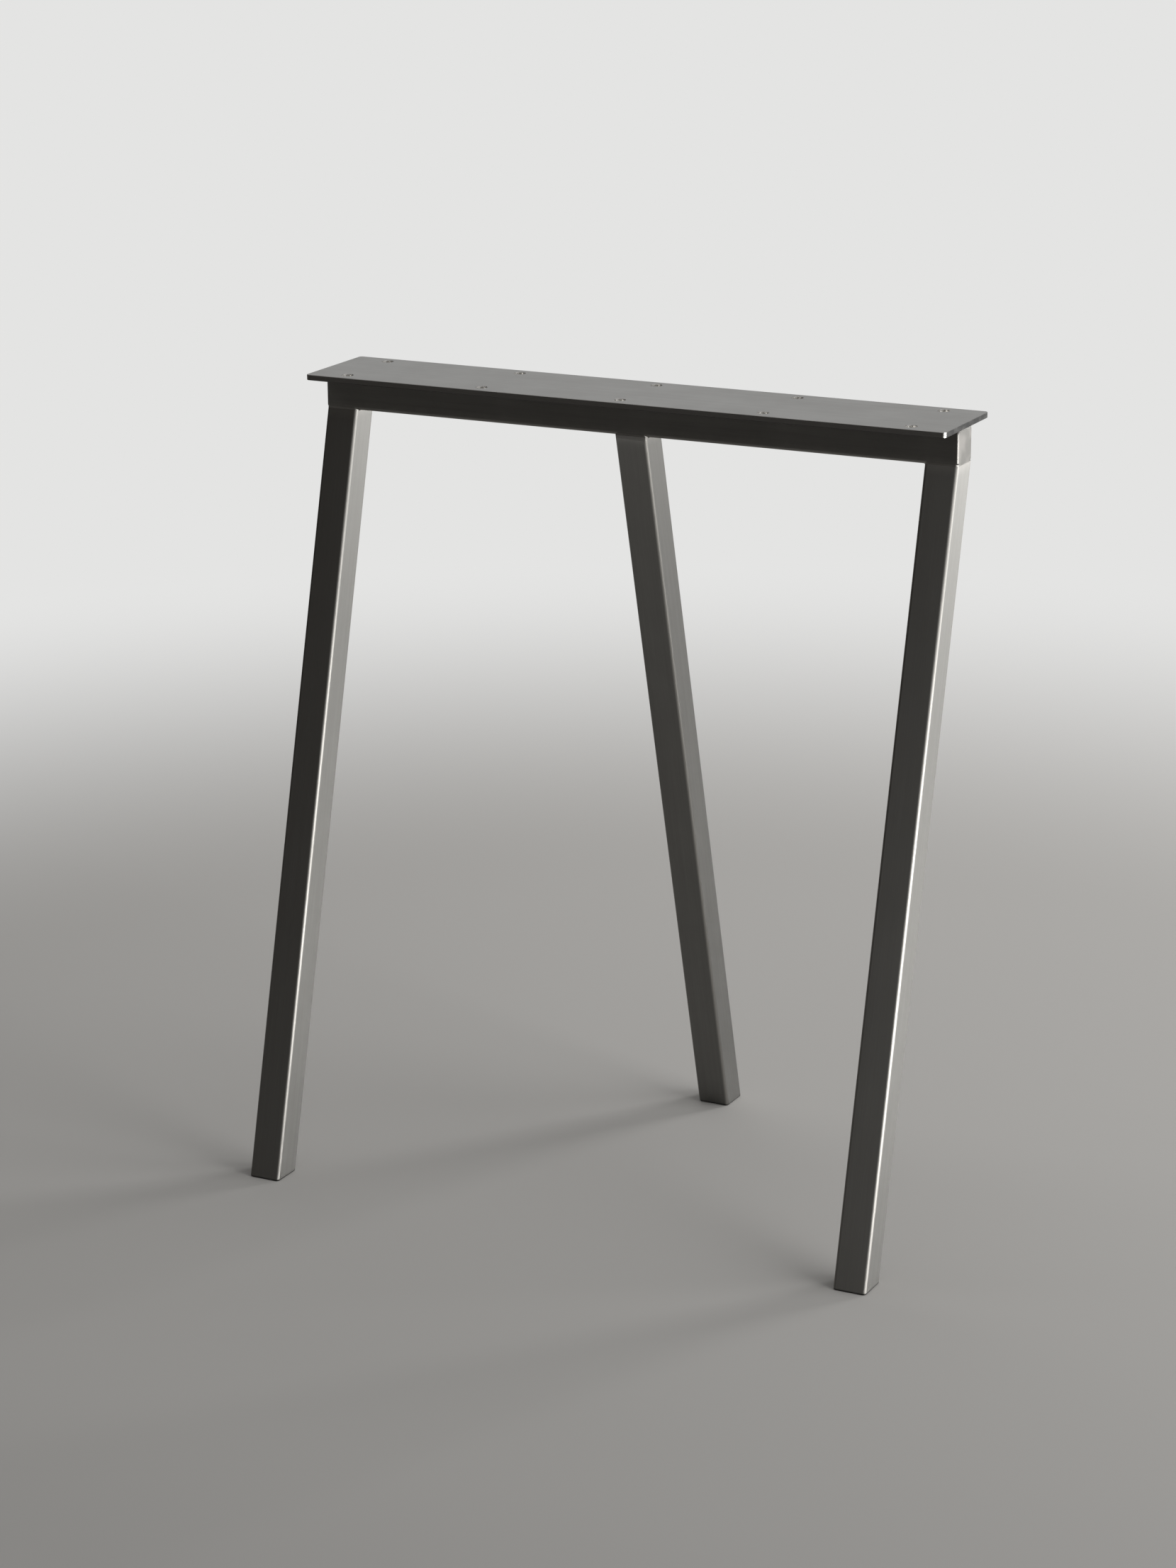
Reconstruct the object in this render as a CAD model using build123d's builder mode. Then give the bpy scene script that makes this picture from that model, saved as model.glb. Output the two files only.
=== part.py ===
from build123d import *
from math import cos, radians, tan
import os

# Table leg: a flat steel plate on a square tube beam, carried by three raking
# square tube legs. All joints are welded, and the ones in plain view are ground
# flush. Millimetres. +Z is up and the floor is Z = 0. X runs along the plate and
# the two front legs lean towards -Y. The origin is on the floor, under the middle.

# Overall
overall_height = 703.0

# Top plate
plate_length = 600.0
plate_width = 96.0
plate_thickness = 5.0
plate_corner_radius = 3.0
plate_edge_break = 0.4

# Bolt holes through the plate
hole_diameter = 10.0
hole_columns = 5
hole_rows = 2
hole_end_margin = 35.0
hole_side_margin = 12.5
hole_edge_break = 0.4

# Square tube, one section for the beam and the legs
tube_size = 30.0
tube_wall = 2.0
tube_corner_radius = 3.0

# Beam under the plate
beam_end_setback = 1.5
beam_end_edge_bevel = 1.5
beam_cap_thickness = 4.0

# Legs
leg_rake = 14.4
foot_cap_thickness = 4.0
foot_edge_bevel = 1.5

# Welds. A weld that fills a rounded tube edge stops this far short of its end.
weld_tip = 0.5
joint_weld_leg = 2.4
joint_weld_face_radius = 2.6
joint_weld_inset = 1.0
joint_weld_end_taper = 1.0
plate_weld_leg = 5.0
plate_weld_face_radius = 9.0
plate_weld_length = 45.0
plate_weld_end_taper = 2.5

# Heights and lengths that follow from the sizes above
plate_bottom = overall_height - plate_thickness
beam_middle = plate_bottom - tube_size / 2
beam_bottom = plate_bottom - tube_size
beam_length = plate_length - 2 * beam_end_setback
beam_tube_length = beam_length - 2 * beam_cap_thickness
hole_pitch = (plate_length - 2 * hole_end_margin) / (hole_columns - 1)
hole_row_spacing = (plate_width - 2 * hole_side_margin) / (hole_rows - 1)
end_leg_x = (beam_length - tube_size) / 2
raked_depth = tube_size / cos(radians(leg_rake))
weld_backing = tube_corner_radius - weld_tip
proud_edge = raked_depth - tube_size

# Name, place along the beam and lean of each leg: -1 comes forward, +1 goes back
legs = [
    ("front_left", -end_leg_x, -1),
    ("front_right", end_leg_x, -1),
    ("rear", 0.0, 1),
]


def save(piece, name):
    piece.part.label = name
    export_step(piece.part, f"parts/{name}.step")


def tube_section(wall=None):
    """Section of the square tube, filled in unless a wall is given."""
    with BuildSketch() as section:
        RectangleRounded(tube_size, tube_size, tube_corner_radius)
        if wall:
            bore = tube_size - 2 * wall
            RectangleRounded(bore, bore, tube_corner_radius - wall, mode=Mode.SUBTRACT)
    return section.sketch


def beam_stretch(length, wall=None):
    """A length of the beam's section, centred along X."""
    with BuildPart() as stretch:
        with BuildSketch(Plane.YZ.offset(-length / 2)):
            with Locations((0, beam_middle)):
                add(tube_section(wall))
        extrude(amount=length)
    return stretch.part


def leg_stretch(x, lean, low, high, wall=None):
    """A length of a leg's section, cut level at two heights.

    The leg starts under the beam, with its outer face flush with the beam's face.
    """
    top_centre = lean * (tube_size - raked_depth) / 2
    along = Vector(0, lean * tan(radians(leg_rake)), -1)
    square_to_leg = Plane((x, top_centre, beam_bottom), x_dir=(-lean, 0, 0), z_dir=along)
    spare = tube_size
    with BuildPart() as stretch:
        with BuildSketch(square_to_leg.offset(-spare)):
            add(tube_section(wall))
        extrude(amount=beam_bottom / cos(radians(leg_rake)) + 2 * spare)
        split(bisect_by=Plane.XY.offset(high), keep=Keep.BOTTOM)
        split(bisect_by=Plane.XY.offset(low), keep=Keep.TOP)
    return stretch.part


def weld_section(leg, face_radius):
    """Section of a fillet weld, with the corner that it fills at the origin.

    It spreads leg wide along +X and -Y under a slightly hollow face. The backing
    runs on past the corner, for cutting to the rounded edges that the weld fills.
    """
    with BuildSketch() as section:
        with BuildLine():
            Polyline(
                (0, -leg),
                (-weld_backing, -leg),
                (-weld_backing, weld_backing),
                (leg, weld_backing),
                (leg, 0),
            )
            RadiusArc((leg, 0), (0, -leg), -face_radius)
        make_face()
    return section.sketch


os.makedirs("parts", exist_ok=True)

# Top plate with rounded corners and two rows of through holes
with BuildPart() as top_plate:
    with BuildSketch(Plane.XY.offset(plate_bottom)):
        RectangleRounded(plate_length, plate_width, plate_corner_radius)
    extrude(amount=plate_thickness)
    flats = top_plate.faces().filter_by(Axis.Z)
    chamfer(flats.edges(), length=plate_edge_break)
    with Locations(Plane.XY.offset(overall_height)):
        with GridLocations(hole_pitch, hole_row_spacing, hole_columns, hole_rows):
            Hole(hole_diameter / 2)
    rims = top_plate.edges(Select.LAST).filter_by(GeomType.CIRCLE)
    chamfer(rims, length=hole_edge_break)
save(top_plate, "top_plate")

# Beam, an open tube between its two end caps
with BuildPart() as cross_beam:
    add(beam_stretch(beam_tube_length, tube_wall))
save(cross_beam, "cross_beam")

# Outer shape of the beam with its caps on, its end edges bevelled
with BuildPart() as beam_shape:
    add(beam_stretch(beam_length))
    chamfer(beam_shape.faces().filter_by(Axis.X).edges(), length=beam_end_edge_bevel)

for side, name in ((-1, "left"), (1, "right")):
    tube_end = Plane((side * beam_tube_length / 2, 0, 0), z_dir=(side, 0, 0))
    with BuildPart() as beam_cap:
        add(beam_shape.part)
        split(bisect_by=tube_end, keep=Keep.TOP)
    save(beam_cap, f"beam_end_cap_{name}")

for leg_name, x, lean in legs:
    # Leg, an open tube between the beam and its foot cap
    with BuildPart() as leg:
        add(leg_stretch(x, lean, foot_cap_thickness, beam_bottom, tube_wall))
    save(leg, f"{leg_name}_leg")

    # Foot cap, which closes the leg and carries its raking sides down to the floor
    with BuildPart() as foot_cap:
        add(leg_stretch(x, lean, 0, foot_cap_thickness))
        sole = foot_cap.faces().sort_by(Axis.Z)[0]
        chamfer(sole.edges(), length=foot_edge_bevel)
    save(foot_cap, f"{leg_name}_foot_cap")

    # Weld round the top of the leg. It fills the beam's rounded lower edges flush
    # with the leg, and becomes a fillet on each side that meets open beam. The cut
    # top of the leg is a little deeper than the beam, so on its inner face the weld
    # slopes back to the beam.
    leg_shape = leg_stretch(x, lean, 0, beam_bottom)
    inner_edge = (0, -lean * (tube_size / 2 + proud_edge), beam_bottom)
    slope = Plane(inner_edge, z_dir=(0, -lean * weld_backing, proud_edge))
    with BuildPart() as leg_weld:
        extrude(leg_shape.faces().sort_by(Axis.Z)[-1], amount=weld_backing)
        split(bisect_by=slope, keep=Keep.BOTTOM)
        for side in (-1, 1):
            if abs(x + side * tube_size) > beam_length / 2:
                continue
            start = joint_weld_inset - tube_size / 2
            corner = (x + side * tube_size / 2, start, beam_bottom)
            with BuildSketch(Plane(corner, x_dir=(side, 0, 0), z_dir=(0, -side, 0))):
                add(weld_section(joint_weld_leg, joint_weld_face_radius))
            extrude(amount=2 * side * start)
        toes = leg_weld.edges().filter_by(GeomType.CIRCLE)
        chamfer(toes, length=joint_weld_end_taper)
        add(beam_shape.part, mode=Mode.SUBTRACT)
        add(leg_shape, mode=Mode.SUBTRACT)
    save(leg_weld, f"{leg_name}_leg_weld")

# Short welds between the plate and the sides of the beam, one under each gap
# between two columns of holes
for side, row_name in ((-1, "front"), (1, "back")):
    for number in range(1, hole_columns):
        middle = (number - hole_columns / 2) * hole_pitch
        start = (middle - side * plate_weld_length / 2, side * tube_size / 2, plate_bottom)
        with BuildPart() as plate_weld:
            with BuildSketch(Plane(start, x_dir=(0, side, 0), z_dir=(side, 0, 0))):
                add(weld_section(plate_weld_leg, plate_weld_face_radius))
            extrude(amount=plate_weld_length)
            split(bisect_by=Plane.XY.offset(plate_bottom), keep=Keep.BOTTOM)
            ends = plate_weld.faces().filter_by(Axis.X)
            toes = ends.edges().filter_by(GeomType.CIRCLE)
            chamfer(toes, length=plate_weld_end_taper)
            add(beam_shape.part, mode=Mode.SUBTRACT)
        save(plate_weld, f"{row_name}_plate_weld_{number}")
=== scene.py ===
from math import cos, pi, radians, sin, tan

import bpy
from mathutils import Euler, Matrix, Vector


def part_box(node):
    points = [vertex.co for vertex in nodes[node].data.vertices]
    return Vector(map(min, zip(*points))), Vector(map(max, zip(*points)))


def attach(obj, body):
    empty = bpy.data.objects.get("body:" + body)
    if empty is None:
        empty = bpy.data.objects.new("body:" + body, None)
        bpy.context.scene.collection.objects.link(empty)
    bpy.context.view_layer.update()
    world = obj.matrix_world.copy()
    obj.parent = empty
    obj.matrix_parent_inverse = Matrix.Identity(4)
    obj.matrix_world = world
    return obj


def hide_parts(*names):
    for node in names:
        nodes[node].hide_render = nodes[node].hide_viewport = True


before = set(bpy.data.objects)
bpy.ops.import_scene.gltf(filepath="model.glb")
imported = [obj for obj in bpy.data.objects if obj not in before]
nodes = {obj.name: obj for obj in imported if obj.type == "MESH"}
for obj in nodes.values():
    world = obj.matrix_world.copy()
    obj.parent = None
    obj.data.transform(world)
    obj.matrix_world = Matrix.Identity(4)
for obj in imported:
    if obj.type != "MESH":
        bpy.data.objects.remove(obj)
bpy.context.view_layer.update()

MM = 0.001

# Sizes read from the model's own nodes, and the few that a box can't give
plate_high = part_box("top_plate")[1]
beam_low, beam_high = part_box("cross_beam")
tube = beam_high.z - beam_low.z
tube_corner = 3.0 * MM
leg_rake = radians(14.4)
joint_height = beam_low.z
beam_middle = (beam_low + beam_high) / 2
beam_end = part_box("beam_end_cap_right")[1].x

# Rounding of the caps' outer edges and of the feet
cap_rounding = 1.9 * MM
sole_rounding = 1.6 * MM

# Weld round a leg. Its fillets are ground back further on the right of each leg than
# on the left. The backing is what lies hidden in the metal behind the corner.
left_toe = 2.4 * MM
right_toe = 1.2 * MM
joint_backing = 1.4 * MM
fillet_inset = 1.0 * MM
fillet_fade = 2.6 * MM
fillet_lip = 0.05 * MM
ground_reach = 12 * MM
hair = 0.02 * MM

# Weld bead under the plate
bead_backing = 1.9 * MM
bead_hollow = 4.7 * MM
ring_spacing = MM

# A direction this close to an axis runs along it, and places this close are the same
PARALLEL = 0.9
SAME_PLACE = 0.01 * MM

# Name, place along the beam and lean of each leg: -1 comes forward, +1 goes back
legs = [
    ("front_left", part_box("front_left_leg"), -1),
    ("front_right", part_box("front_right_leg"), -1),
    ("rear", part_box("rear_leg"), 1),
]


# Colours and nodes


def linear(hex_colour):
    """An sRGB hex colour as linear red, green, blue and alpha."""
    channels = [int(hex_colour[i : i + 2], 16) / 255 for i in (1, 3, 5)]
    straight = [c / 12.92 if c <= 0.04045 else ((c + 0.055) / 1.055) ** 2.4 for c in channels]
    return straight + [1.0]


def add_node(tree, kind, inputs=None, **settings):
    """Adds a node with its settings. Each input gets a value, or a link from a socket."""
    node = tree.nodes.new(kind)
    for name, value in settings.items():
        setattr(node, name, value)
    for name, value in (inputs or {}).items():
        if isinstance(value, bpy.types.NodeSocket):
            tree.links.new(value, node.inputs[name])
        else:
            node.inputs[name].default_value = value
    return node


def empty_material(name):
    """A material with no nodes yet, and its node tree."""
    material = bpy.data.materials.new(name)
    material.use_nodes = True
    material.node_tree.nodes.clear()
    return material, material.node_tree


# Pieces


def dress(piece, finish):
    """Gives a piece or a CAD node its finish."""
    if piece.material_slots:
        for slot in piece.material_slots:
            slot.material = finish
    else:
        piece.data.materials.append(finish)


def choose(piece, kind, test):
    """Selects the vertices, edges or faces of a piece whose place and direction pass a test."""
    bpy.ops.object.mode_set(mode="OBJECT")
    mesh = piece.data
    for group in (mesh.vertices, mesh.edges, mesh.polygons):
        group.foreach_set("select", [False] * len(group))
    for item in getattr(mesh, kind):
        if kind == "vertices":
            place, direction = item.co, item.normal
        elif kind == "edges":
            first, last = [mesh.vertices[i].co for i in item.vertices]
            place, direction = (first + last) / 2, (last - first).normalized()
        else:
            place, direction = item.center, item.normal
        item.select = test(place, direction)
    bpy.ops.object.mode_set(mode="EDIT")


def start_box(name, low, high, rotation=(0, 0, 0)):
    """A box between two corners, turned about its middle, ready to shape in edit mode."""
    bpy.ops.object.select_all(action="DESELECT")
    middle = (Vector(low) + Vector(high)) / 2
    bpy.ops.mesh.primitive_cube_add(size=1, location=middle, rotation=rotation)
    piece = bpy.context.object
    piece.name = name
    piece.scale = Vector(high) - Vector(low)
    bpy.ops.object.transform_apply(location=True, rotation=True, scale=True)
    bpy.ops.object.mode_set(mode="EDIT")
    bpy.ops.mesh.select_mode(type="EDGE")
    return piece


def finish_piece(piece, angle=30):
    """Outward normals, and smooth shading that stops at edges sharper than an angle."""
    bpy.ops.object.mode_set(mode="EDIT")
    bpy.ops.mesh.select_all(action="SELECT")
    bpy.ops.mesh.remove_doubles(threshold=0.001 * MM)
    bpy.ops.mesh.normals_make_consistent(inside=False)
    bpy.ops.object.mode_set(mode="OBJECT")
    bpy.ops.object.shade_smooth_by_angle(angle=radians(angle))
    bpy.ops.object.modifier_add(type="WEIGHTED_NORMAL")
    piece.modifiers[-1].keep_sharp = True
    bpy.ops.object.modifier_apply(modifier=piece.modifiers[-1].name)


def stand_for(piece, node_name, finish):
    """Puts a piece in the place of a CAD node."""
    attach(piece, "root")
    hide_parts(node_name)
    dress(piece, finish)


def beam_end_cap(side, name):
    """Solid cap ground flush with the tube, with rounded edges round its outer face."""
    low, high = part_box(name)
    cap = start_box(f"rounded_{name}", low, high)
    choose(cap, "edges", lambda place, direction: abs(direction.x) > PARALLEL)
    bpy.ops.mesh.bevel(offset=tube_corner, segments=6)
    outer = high.x if side > 0 else low.x
    choose(cap, "edges", lambda place, direction: abs(place.x - outer) < SAME_PLACE)
    bpy.ops.mesh.bevel(offset=cap_rounding, segments=5)
    finish_piece(cap)
    return cap


def raked_bar(name, x, lean, low, high):
    """A bar of the leg's section along the leg's line, cut level at two heights."""
    top_shift = (tube - tube / cos(leg_rake)) / 2
    height = (low + high) / 2
    middle = Vector((x, lean * (top_shift + (joint_height - height) * tan(leg_rake)), height))
    reach = Vector((tube / 2, tube / 2, (high - low) / 2 / cos(leg_rake) + tube))
    bar = start_box(name, middle - reach, middle + reach, (lean * leg_rake, 0, 0))
    up = Vector((0, -lean * sin(leg_rake), cos(leg_rake)))
    choose(bar, "edges", lambda place, direction: abs(direction.dot(up)) > PARALLEL)
    bpy.ops.mesh.bevel(offset=tube_corner, segments=6)
    slice_off((0, 0, high), (0, 0, 1))
    slice_off((0, 0, low), (0, 0, -1))
    return bar


def slice_off(point, outward, keep=False):
    """Cuts the piece in edit mode by a plane, and takes off what lies outside it.

    With keep, the cut only adds a ring of edges.
    """
    bpy.ops.mesh.select_all(action="SELECT")
    bpy.ops.mesh.bisect(
        plane_co=point, plane_no=outward, use_fill=not keep, clear_outer=not keep
    )


def foot_cap(name, lean):
    """Solid cap that carries the raking tube to the floor, with a rounded sole."""
    low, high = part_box(name)
    cap = raked_bar(f"rounded_{name}", (low.x + high.x) / 2, lean, 0, high.z)
    choose(cap, "edges", lambda place, direction: abs(place.z) < SAME_PLACE)
    bpy.ops.mesh.bevel(offset=sole_rounding, segments=5)
    finish_piece(cap)
    return cap


def ground_leg(name, lean):
    """Leg whose inner face is ground flush with the beam where it stands proud of it."""
    low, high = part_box(name)
    leg = raked_bar(f"ground_{name}", (low.x + high.x) / 2, lean, low.z, high.z)
    slice_off((0, -lean * tube / 2, 0), (0, -lean, 0))
    # A ring below the joint keeps the rest of the leg flat
    slice_off((0, 0, high.z - ground_reach), (0, 0, 1), keep=True)
    finish_piece(leg)
    return leg


def joint_weld(name):
    """Weld round the top of a leg: the beam's rounded edges filled flush, and a fillet
    on each side that meets open beam."""
    low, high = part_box(name)
    # At a beam end the fillet is on one side only, so the box isn't centred on the leg
    x = (low.x + high.x) / 2
    if low.x < MM - beam_end:
        x = tube / 2 - beam_end
    elif high.x > beam_end - MM:
        x = beam_end - tube / 2
    # The fill lies a hair behind the beam's end, so that the two faces don't fight
    corner_low = (max(x - tube / 2, hair - beam_end), -tube / 2, joint_height)
    corner_high = (min(x + tube / 2, beam_end - hair), tube / 2, high.z)
    weld = start_box(f"flush_{name}", corner_low, corner_high)
    choose(weld, "edges", lambda place, direction: abs(direction.z) > PARALLEL)
    bpy.ops.mesh.bevel(offset=tube_corner, segments=6)
    finish_piece(weld)
    parts = [weld]
    for side in (-1, 1):
        if abs(x + side * tube) > beam_end:
            continue
        toe = left_toe if side < 0 else right_toe
        wall = x + side * tube / 2
        end = tube / 2 - fillet_inset
        buried = (wall - side * joint_backing, 0, joint_height + joint_backing)
        across = sorted((buried[0], wall + side * toe))
        fillet = start_box(
            "fillet", (across[0], -end, joint_height - toe), (across[1], end, buried[2])
        )
        choose(
            fillet,
            "edges",
            lambda place, direction: abs(direction.y) > PARALLEL
            and side * (place.x - wall) > toe / 2
            and place.z < joint_height - toe / 2,
        )
        bpy.ops.mesh.bevel(offset=toe - fillet_lip, segments=8, profile=0.09)
        # Both ends fade into the metal behind the corner
        for place in (end - fillet_fade, fillet_fade - end):
            slice_off((0, place, 0), (0, 1, 0), keep=True)
        choose(fillet, "vertices", lambda place, direction: abs(place.y) > end - 0.1 * MM)
        bpy.ops.transform.resize(value=(0.3, 1, 0.3), center_override=buried)
        finish_piece(fillet, 50)
        parts.append(fillet)
    bpy.ops.object.select_all(action="DESELECT")
    for part in parts:
        part.select_set(True)
    bpy.context.view_layer.objects.active = weld
    bpy.ops.object.join()
    return weld


def plate_weld_bead():
    """Rippled fillet bead under the plate, centred on X = 0 at the back of the beam."""
    low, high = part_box("back_plate_weld_1")
    half = (high.x - low.x) / 2
    back = beam_high.y - bead_backing
    bead = start_box("weld_bead", (-half, back, low.z), (half, high.y, high.z))
    choose(
        bead,
        "edges",
        lambda place, direction: abs(direction.x) > PARALLEL
        and place.y > back + MM
        and place.z < high.z - MM,
    )
    bpy.ops.mesh.bevel(offset=bead_hollow, segments=7, profile=0.32)
    rings = round(2 * half / ring_spacing)
    choose(bead, "edges", lambda place, direction: abs(direction.x) > PARALLEL)
    bpy.ops.mesh.subdivide(number_cuts=rings - 1)
    bpy.ops.mesh.select_mode(type="VERT")
    toe_y, toe_z = beam_high.y, high.z

    def across(place):
        """How far a vertex lies from the toe on the beam, 0, to the one on the plate, 1."""
        return (place.y - toe_y) / (high.y - toe_y) if place.y > toe_y - SAME_PLACE else -1

    # Every third ring stands proud and the next a little, as the bead froze in steps
    slant = 0.7
    for step, height in ((0, 0.42), (1, 0.2)):
        choose(
            bead,
            "vertices",
            lambda place, direction: 0.1 < across(place) < 0.95
            and toe_z - place.z > 0.4 * MM
            and round((place.x + half) / ring_spacing) % 3 == step,
        )
        bpy.ops.transform.translate(value=(0, height * MM * slant, -height * MM * slant))
    # The steps bow forwards in the middle of the face
    for reach, shift in ((0.9, 0.5), (0.75, 0.5), (0.6, 0.4)):
        choose(
            bead,
            "vertices",
            lambda place, direction: 1 - reach < across(place) < reach
            and abs(place.x) < half - 3 * MM,
        )
        bpy.ops.transform.translate(value=(shift * MM, 0, 0))
    # Start and crater slope down to the plate
    for inset, share in ((0.2, 0.45), (1.2, 0.72), (2.2, 0.9)):
        choose(
            bead,
            "vertices",
            lambda place, direction: across(place) >= 0
            and abs(abs(place.x) - half + inset * MM) < ring_spacing / 2,
        )
        bpy.ops.transform.resize(value=(1, share, share), center_override=(0, toe_y, toe_z))
    finish_piece(bead, 50)
    return bead


# Steel finishes


def brush_marks(tree, place):
    """The marks of brushing along X: fine lines, broad streaks and soft clouds, 0 to 1."""
    # Brush lines. Real ones are about 0.2 mm apart and 60 mm long, drawn 0.6 mm apart to show
    fine = add_node(
        tree, "ShaderNodeMapping", {"Vector": place, "Scale": (16, 1650, 1650)}
    ).outputs["Vector"]
    lines = add_node(
        tree, "ShaderNodeTexNoise", {"Vector": fine, "Scale": 1.0, "Detail": 2.0}
    ).outputs["Fac"]
    # Streaks where the belt bit a little more, 5 mm wide and about 200 mm long
    broad = add_node(
        tree, "ShaderNodeMapping", {"Vector": place, "Scale": (5, 200, 200)}
    ).outputs["Vector"]
    streaks = add_node(
        tree, "ShaderNodeTexNoise", {"Vector": broad, "Scale": 1.0, "Detail": 3.0}
    ).outputs["Fac"]
    # Clouds in the lacquer, about 50 mm across
    clouds = add_node(
        tree, "ShaderNodeTexNoise", {"Vector": place, "Scale": 20.0, "Detail": 4.0}
    ).outputs["Fac"]
    return lines, streaks, clouds


def blend_marks(tree, lines, streaks, clouds, shares):
    """One mark from 0 to 1, with the given share of each kind."""
    total = 0.5 - 0.5 * sum(shares)
    for mark, share in zip((lines, streaks, clouds), shares):
        total = add_node(
            tree, "ShaderNodeMath", {0: mark, 1: share, 2: total}, operation="MULTIPLY_ADD"
        ).outputs[0]
    return total


def mix_colour(tree, share, first, second):
    """A colour between two, each given as sRGB hex or as a socket."""
    ends = [linear(c) if isinstance(c, str) else c for c in (first, second)]
    return add_node(
        tree, "ShaderNodeMix", {"Factor": share, 6: ends[0], 7: ends[1]}, data_type="RGBA"
    ).outputs[2]


def ramp(tree, value, start, end, low=0.0, high=1.0):
    """A value eased from low to high as it goes from start to end."""
    return add_node(
        tree,
        "ShaderNodeMapRange",
        {"Value": value, "From Min": start, "From Max": end, "To Min": low, "To Max": high},
        interpolation_type="SMOOTHSTEP",
    ).outputs["Result"]


def steel_shader(tree, colour, roughness, height, depth, spread, line_direction):
    """Bare metal whose highlight spreads across its brush lines."""
    relief = add_node(
        tree, "ShaderNodeBump", {"Height": height, "Strength": 0.35, "Distance": depth}
    ).outputs["Normal"]
    tangent = add_node(
        tree,
        "ShaderNodeVectorTransform",
        {"Vector": line_direction},
        vector_type="VECTOR",
        convert_from="OBJECT",
        convert_to="WORLD",
    ).outputs["Vector"]
    shader = add_node(
        tree,
        "ShaderNodeBsdfPrincipled",
        {
            "Base Color": colour,
            "Metallic": 1.0,
            "Roughness": roughness,
            "Normal": relief,
            "Anisotropic": spread,
            "Anisotropic Rotation": 0.25,
            "Tangent": tangent,
        },
    ).outputs["BSDF"]
    add_node(tree, "ShaderNodeOutputMaterial", {"Surface": shader})


def brushed_tube_steel(name, middle, turn, ground_end=False, band=0.5):
    """Mild steel tube, brushed lengthwise and lacquered, which runs along X when unturned.

    It gives long soft streaks, a wide sideways glow in the light of the window, a
    painted highlight line along the rounded corners, a paler ground band next to the
    welded joint, and a painted contact shadow as a dark rim at the sole.
    """
    material, tree = empty_material(name)
    shared = add_node(tree, "ShaderNodeTexCoord").outputs["Object"]
    place = add_node(
        tree,
        "ShaderNodeMapping",
        {"Vector": shared, "Location": middle, "Rotation": turn},
        vector_type="TEXTURE",
    ).outputs["Vector"]
    lines, streaks, clouds = brush_marks(tree, place)
    mark = blend_marks(tree, lines, streaks, clouds, (0.35, 0.5, 0.4))
    colour = mix_colour(tree, mark, "#605f5c", "#787774")
    rough = ramp(tree, mark, 0.2, 0.8, 0.45, 0.38)

    # Painted highlight: the rounded corners, 3 mm in radius, are painted paler. Both distances from
    # the tube's middle are large there
    across = add_node(tree, "ShaderNodeSeparateXYZ", {"Vector": place}).outputs
    away = [
        add_node(tree, "ShaderNodeMath", {0: across[side]}, operation="ABSOLUTE").outputs[0]
        for side in ("Y", "Z")
    ]
    nearer = add_node(
        tree, "ShaderNodeMath", {0: away[0], 1: away[1]}, operation="MINIMUM"
    ).outputs[0]
    corner = ramp(tree, nearer, tube / 2 - 2.4 * MM, tube / 2 - 1.1 * MM)
    colour = mix_colour(tree, corner, colour, "#82807c")

    # Ground band that fades away within 9 mm of the joint under the beam
    up = add_node(tree, "ShaderNodeSeparateXYZ", {"Vector": shared}).outputs["Z"]
    gap = add_node(
        tree, "ShaderNodeMath", {0: up, 1: joint_height}, operation="SUBTRACT"
    ).outputs[0]
    gap = add_node(tree, "ShaderNodeMath", {0: gap}, operation="ABSOLUTE").outputs[0]
    uneven = add_node(
        tree, "ShaderNodeTexNoise", {"Vector": shared, "Scale": 160.0, "Detail": 2.0}
    ).outputs["Fac"]
    gap = add_node(
        tree, "ShaderNodeMath", {0: uneven, 1: 6 * MM, 2: gap}, operation="MULTIPLY_ADD"
    ).outputs[0]
    ground = ramp(tree, gap, 4 * MM, 12 * MM, band, 0.0)
    colour = mix_colour(tree, ground, colour, "#7f7d79")

    # Painted contact shadow: a dark rim where the sole meets the floor
    sole = ramp(tree, up, 0.5 * MM, 2.2 * MM, 0.85, 0.0)
    colour = mix_colour(tree, sole, colour, "#1d1c1b")

    line_direction = Euler(turn).to_matrix() @ Vector((1, 0, 0))
    if ground_end:
        # A closed end is ground upright, and paler in patches where the disc has leant on it
        normal = add_node(tree, "ShaderNodeTexCoord").outputs["Normal"]
        facing = add_node(tree, "ShaderNodeSeparateXYZ", {"Vector": normal}).outputs["X"]
        facing = add_node(tree, "ShaderNodeMath", {0: facing}, operation="ABSOLUTE").outputs[0]
        end = ramp(tree, facing, 0.35, 0.75)
        patch = add_node(
            tree, "ShaderNodeTexNoise", {"Vector": shared, "Scale": 60.0, "Detail": 1.0}
        ).outputs["Fac"]
        end_colour = mix_colour(tree, ramp(tree, patch, 0.4, 0.62), "#5a5956", "#686663")
        colour = mix_colour(tree, end, colour, end_colour)
        line_direction = add_node(
            tree,
            "ShaderNodeMix",
            {"Factor": end, 4: line_direction, 5: (0, 0, 1)},
            data_type="VECTOR",
        ).outputs[1]
    steel_shader(tree, colour, rough, lines, 0.03 * MM, 0.75, line_direction)
    return material


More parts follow.
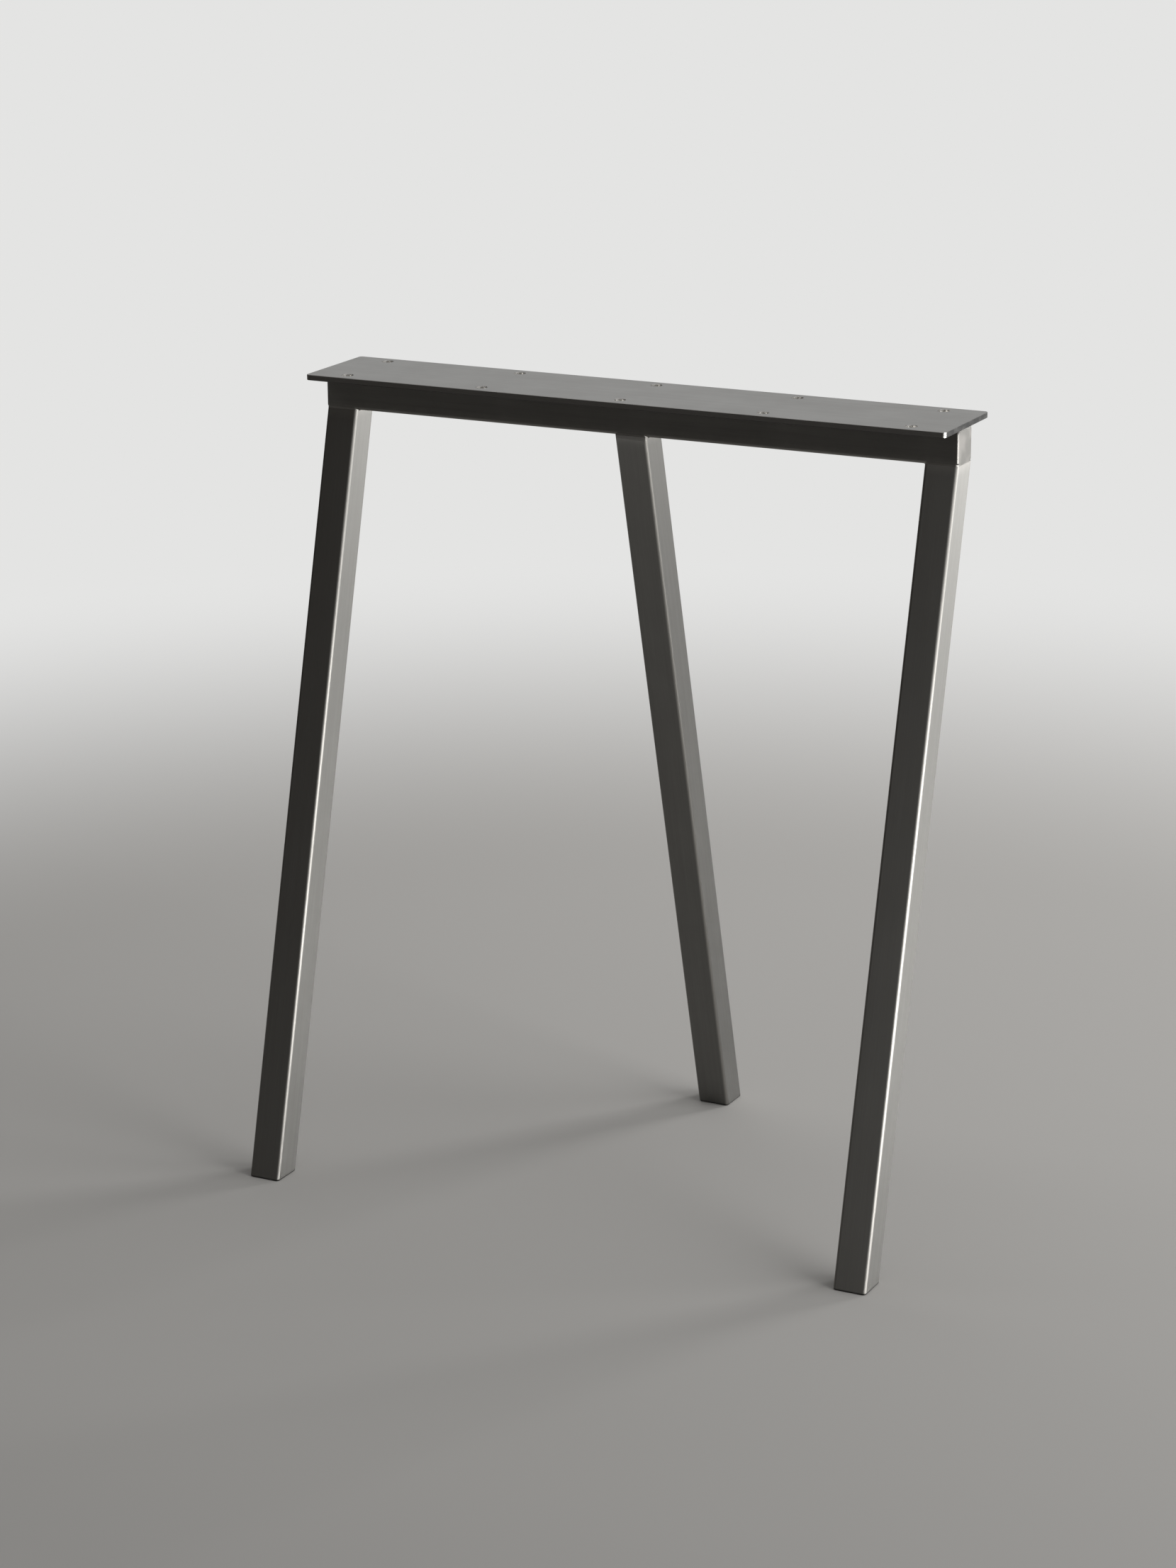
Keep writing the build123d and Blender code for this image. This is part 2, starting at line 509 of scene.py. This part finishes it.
def satin_flat_bar_steel():
    """Flat bar, linished along its length and lacquered.

    It gives a smooth satin grey with hardly any lines, bright bores where the drill
    has cut clean metal, and dark mottled ends where the bar was cut and dressed.
    """
    material, tree = empty_material("satin flat bar steel")
    coordinates = add_node(tree, "ShaderNodeTexCoord").outputs
    place = coordinates["Object"]
    lines, streaks, clouds = brush_marks(tree, place)
    mark = blend_marks(tree, lines, streaks, clouds, (0.18, 0.3, 0.6))
    colour = mix_colour(tree, mark, "#6d6c6a", "#848381")
    rough = ramp(tree, mark, 0.2, 0.8, 0.35, 0.29)
    # Clean bright steel for the bores, and also the colour of the painted highlight on the corners
    bore_steel_and_corner_glint = "#c2c0bc"

    # Which way the surface faces, and how far it lies from the middle of the plate
    facing = add_node(tree, "ShaderNodeSeparateXYZ", {"Vector": coordinates["Normal"]}).outputs
    spot = add_node(tree, "ShaderNodeSeparateXYZ", {"Vector": place}).outputs
    flat, side_on, end_on, along, aside = [
        add_node(tree, "ShaderNodeMath", {0: value}, operation="ABSOLUTE").outputs[0]
        for value in (facing["Z"], facing["Y"], facing["X"], spot["X"], spot["Y"])
    ]
    upright = ramp(tree, flat, 0.75, 0.4)

    def both(first, second):
        return add_node(
            tree, "ShaderNodeMath", {0: first, 1: second}, operation="MULTIPLY"
        ).outputs[0]

    # Bores: upright walls inside the plate's outline, bright where the drill cut
    inside = both(
        ramp(tree, aside, plate_high.y - 5 * MM, plate_high.y - 6 * MM),
        ramp(tree, along, plate_high.x - 10 * MM, plate_high.x - 12 * MM),
    )
    bore = both(upright, inside)
    colour = mix_colour(tree, bore, colour, bore_steel_and_corner_glint)
    rough = add_node(
        tree, "ShaderNodeMath", {0: bore, 1: 0.02, 2: rough}, operation="MULTIPLY_ADD"
    ).outputs[0]

    # Cut ends, darker and mottled where they were dressed, about 12 mm across
    end = both(
        ramp(tree, end_on, 0.86, 0.97), ramp(tree, along, plate_high.x - 2 * MM, plate_high.x - MM)
    )
    dressed = add_node(
        tree,
        "ShaderNodeTexNoise",
        {"Vector": place, "Scale": 85.0, "Detail": 1.0, "Distortion": 0.5},
    ).outputs["Fac"]
    end_colour = mix_colour(tree, ramp(tree, dressed, 0.35, 0.68), "#262625", "#4f4e4c")
    colour = mix_colour(tree, end, colour, end_colour)

    # Painted highlight: the rounded upright corners are painted bright
    corner_glint = both(ramp(tree, side_on, 0.2, 0.5), ramp(tree, end_on, 0.2, 0.5))
    corner_glint = both(
        both(corner_glint, upright), ramp(tree, along, plate_high.x - 5 * MM, plate_high.x - 4 * MM)
    )
    colour = mix_colour(tree, corner_glint, colour, bore_steel_and_corner_glint)

    # Painted shade: the lower edges, which face downwards, are painted dark
    under = both(ramp(tree, facing["Z"], -0.35, -0.55), ramp(tree, facing["Z"], -0.97, -0.85))
    colour = mix_colour(tree, under, colour, "#262524")

    # Drill lines run round the bores, all other lines along the bar
    round_bore = add_node(
        tree,
        "ShaderNodeVectorMath",
        {0: coordinates["Normal"], 1: (0, 0, 1)},
        operation="CROSS_PRODUCT",
    ).outputs["Vector"]
    line_direction = add_node(
        tree,
        "ShaderNodeMix",
        {"Factor": bore, 4: Vector((1, 0, 0)), 5: round_bore},
        data_type="VECTOR",
    ).outputs[1]
    steel_shader(tree, colour, rough, lines, 0.02 * MM, 0.6, line_direction)
    return material


def ground_steel(name, dark, light, rough_range, grain, depth):
    """Steel dressed with a disc, with no single direction.

    It gives short crossing scratches in soft patches, duller than the brushed tube.
    """
    material, tree = empty_material(name)
    place = add_node(tree, "ShaderNodeTexCoord").outputs["Object"]
    # Disc scratches, about 0.5 mm wide and 6 mm long, in patches that cross each other
    patch = add_node(
        tree, "ShaderNodeTexNoise", {"Vector": place, "Scale": grain, "Detail": 2.0}
    ).outputs["Fac"]
    scratches = []
    for turn in (0.6, -0.9):
        turned = add_node(
            tree,
            "ShaderNodeMapping",
            {"Vector": place, "Rotation": (turn, turn, 0), "Scale": (160, 1800, 1800)},
        ).outputs["Vector"]
        scratches.append(
            add_node(
                tree, "ShaderNodeTexNoise", {"Vector": turned, "Scale": 1.0, "Detail": 1.0}
            ).outputs["Fac"]
        )
    swap = ramp(tree, patch, 0.45, 0.55)
    scratch = add_node(
        tree, "ShaderNodeMix", {"Factor": swap, 2: scratches[0], 3: scratches[1]}, data_type="FLOAT"
    ).outputs[0]
    mark = blend_marks(tree, scratch, patch, patch, (0.4, 0.6, 0.0))
    colour = mix_colour(tree, mark, dark, light)
    rough = ramp(tree, mark, 0.2, 0.8, *rough_range)
    steel_shader(tree, colour, rough, scratch, depth, 0.2, Vector((0, 1, 0)))
    return material


# Turns that take the X axis along each leg, from its foot up
leg_turns = {-1: (0, leg_rake - pi / 2, pi / 2), 1: (0, leg_rake - pi / 2, -pi / 2)}

plate_finish = satin_flat_bar_steel()
beam_finish = brushed_tube_steel("brushed tube steel, beam", beam_middle, (0, 0, 0))
cap_finish = brushed_tube_steel(
    "brushed tube steel, ground beam end", beam_middle, (0, 0, 0), ground_end=True
)
weld_finish = brushed_tube_steel(
    "ground flush weld steel", beam_middle, (0, 0, 0), ground_end=True, band=0.15
)
bead_finish = ground_steel(
    "bare weld bead steel", "#4f4e4b", "#74726e", (0.42, 0.3), 420, 0.02 * MM
)

dress(nodes["top_plate"], plate_finish)
dress(nodes["cross_beam"], beam_finish)
for name, box, lean in legs:
    top = beam_middle.y + lean * (tube - tube / cos(leg_rake)) / 2
    middle = Vector(((box[0].x + box[1].x) / 2, top, joint_height))
    leg_name = name.replace("_", " ")
    finish = brushed_tube_steel(f"brushed tube steel, {leg_name} leg", middle, leg_turns[lean])
    stand_for(ground_leg(f"{name}_leg", lean), f"{name}_leg", finish)
    stand_for(joint_weld(f"{name}_leg_weld"), f"{name}_leg_weld", weld_finish)
    cap_name = f"{name}_foot_cap"
    stand_for(foot_cap(cap_name, lean), cap_name, finish)

for side, cap_name in ((-1, "beam_end_cap_left"), (1, "beam_end_cap_right")):
    stand_for(beam_end_cap(side, cap_name), cap_name, cap_finish)

bead = plate_weld_bead()
for node_name in nodes:
    if "plate_weld" not in node_name:
        continue
    low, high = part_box(node_name)
    copy = bead.copy()
    copy.data = bead.data.copy()
    copy.name = f"bead_{node_name}"
    bpy.context.scene.collection.objects.link(copy)
    turn = Matrix.Rotation(pi if low.y < 0 else 0, 4, "Z")
    copy.data.transform(Matrix.Translation(((low.x + high.x) / 2, 0, 0)) @ turn)
    stand_for(copy, node_name, bead_finish)
bpy.data.objects.remove(bead)


# Studio


def seen_or_mirrored(tree):
    """1 for what the camera sees, straight or in the metal, and 0 for what only gives light."""
    path = add_node(tree, "ShaderNodeLightPath").outputs
    seen = path["Is Camera Ray"]
    for ray in ("Is Glossy Ray", "Is Transmission Ray"):
        seen = add_node(
            tree, "ShaderNodeMath", {0: seen, 1: path[ray]}, operation="MAXIMUM"
        ).outputs[0]
    return seen


background = "#e4e4e3"
floor_grey = linear("#bbb9b6")
bpy.ops.object.select_all(action="DESELECT")

# Pale floor, which fades into the pale background well away from the object. The metal
# shows it with the sheen of a sealed floor.
bpy.ops.mesh.primitive_circle_add(vertices=96, radius=12, fill_type="NGON", location=(0, 0, 0))
floor = bpy.context.object
floor.name = "studio_floor"
floor_finish, tree = empty_material("pale sealed floor")
spot = add_node(tree, "ShaderNodeTexCoord").outputs["Object"]
reach = add_node(tree, "ShaderNodeVectorMath", {0: spot}, operation="LENGTH").outputs["Value"]
fade = add_node(
    tree,
    "ShaderNodeMath",
    {0: ramp(tree, reach, 0.85, 2.3), 1: seen_or_mirrored(tree)},
    operation="MULTIPLY",
).outputs[0]
matt = add_node(
    tree, "ShaderNodeBsdfDiffuse", {"Color": floor_grey, "Roughness": 0.5}
).outputs["BSDF"]
satin = add_node(
    tree, "ShaderNodeBsdfPrincipled", {"Base Color": floor_grey, "Roughness": 0.28}
).outputs["BSDF"]
mirrored = add_node(tree, "ShaderNodeLightPath").outputs["Is Glossy Ray"]
near = add_node(tree, "ShaderNodeMixShader", {0: mirrored, 1: matt, 2: satin}).outputs["Shader"]
glow = add_node(
    tree, "ShaderNodeEmission", {"Color": linear(background), "Strength": 1.0}
).outputs["Emission"]
faded = add_node(tree, "ShaderNodeMixShader", {0: fade, 1: near, 2: glow}).outputs["Shader"]
add_node(tree, "ShaderNodeOutputMaterial", {"Surface": faded})
dress(floor, floor_finish)

# Pale background all round, which gives less light than it shows
world = bpy.data.worlds.new("pale_studio")
bpy.context.scene.world = world
world.use_nodes = True
tree = world.node_tree
tree.nodes.clear()
strength = add_node(
    tree, "ShaderNodeMapRange", {"Value": seen_or_mirrored(tree), "To Min": 0.22, "To Max": 1.0}
).outputs["Result"]
pale = add_node(
    tree, "ShaderNodeBackground", {"Color": linear(background), "Strength": strength}
).outputs["Background"]
add_node(tree, "ShaderNodeOutputWorld", {"Surface": pale})


def softbox(name, place, aim, size, brightness, lights_floor=True):
    """A large soft rectangular lamp that faces a point. A brightness of 1 is as bright as white.

    A lamp that doesn't light the floor shows in the metal alone, and casts no shadow.
    """
    lamp = bpy.data.lights.new(name, "AREA")
    lamp.shape = "RECTANGLE"
    lamp.size, lamp.size_y = size
    lamp.energy = brightness * pi * size[0] * size[1]
    lamp_object = bpy.data.objects.new(name, lamp)
    turn = (Vector(aim) - Vector(place)).to_track_quat("-Z", "Y").to_matrix().to_4x4()
    lamp_object.matrix_world = Matrix.Translation(place) @ turn
    lamp_object.visible_camera = False
    lamp_object.visible_diffuse = lights_floor
    bpy.context.scene.collection.objects.link(lamp_object)


# A window on the right that reaches from low and near the camera to high and far
# behind the object, and a soft light overhead
softbox("window_low_near", (1.9, -0.4, 0.2), (0, -0.4, 0.2), (1.8, 0.36), 19.0, lights_floor=False)
softbox("window_middle", (1.9, 1.35, 0.5), (0, 1.35, 0.5), (1.7, 0.4), 14.5, lights_floor=False)
softbox("window_high_far", (1.9, 3.3, 1.7), (0, 3.3, 1.7), (2.2, 1.0), 17.5)
softbox("window_high_near", (1.9, 0.1, 1.3), (0, 0, 0.4), (2.0, 1.2), 2.6)
softbox("top_softbox", (0, 0.6, 2.8), (0, 0.3, 0), (3.0, 2.0), 1.4)


def dim_card(name, place, turn, size, finish):
    """An upright card that gives no light and that only the metal shows."""
    bpy.ops.mesh.primitive_plane_add(size=1, location=place, rotation=(pi / 2, 0, radians(turn)))
    card = bpy.context.object
    card.name = name
    card.scale = (size[0], size[1], 1)
    card.visible_camera = False
    card.visible_diffuse = False
    card.visible_transmission = False
    card.visible_shadow = False
    dress(card, finish)


# The dim side of the room, behind the camera and on the left
card_finish, tree = empty_material("dim warm card")
glow = add_node(
    tree, "ShaderNodeEmission", {"Color": linear("#3d3833"), "Strength": 1.0}
).outputs[0]
add_node(tree, "ShaderNodeOutputMaterial", {"Surface": glow})
dim_card("dim_front", (-1.2, -1.5, 1.2), -20, (4.5, 2.4), card_finish)
dim_card("dim_left", (-2.1, -0.4, 1.0), 90, (3.6, 2.0), card_finish)

# Camera, solved from the photograph
camera_data = bpy.data.cameras.new("photo_camera")
camera_data.lens = 90.306
camera_data.sensor_width = 36.0
camera = bpy.data.objects.new("photo_camera", camera_data)
camera.matrix_world = (
    Matrix.Translation((1.45243, -2.96827, 1.34691))
    @ Matrix.Rotation(radians(26.854), 4, "Z")
    @ Matrix.Rotation(radians(90 - 16.707), 4, "X")
    @ Matrix.Rotation(radians(-0.4076), 4, "Z")
)
bpy.context.scene.collection.objects.link(camera)
bpy.context.scene.camera = camera
bpy.context.scene.view_settings.view_transform = "Standard"
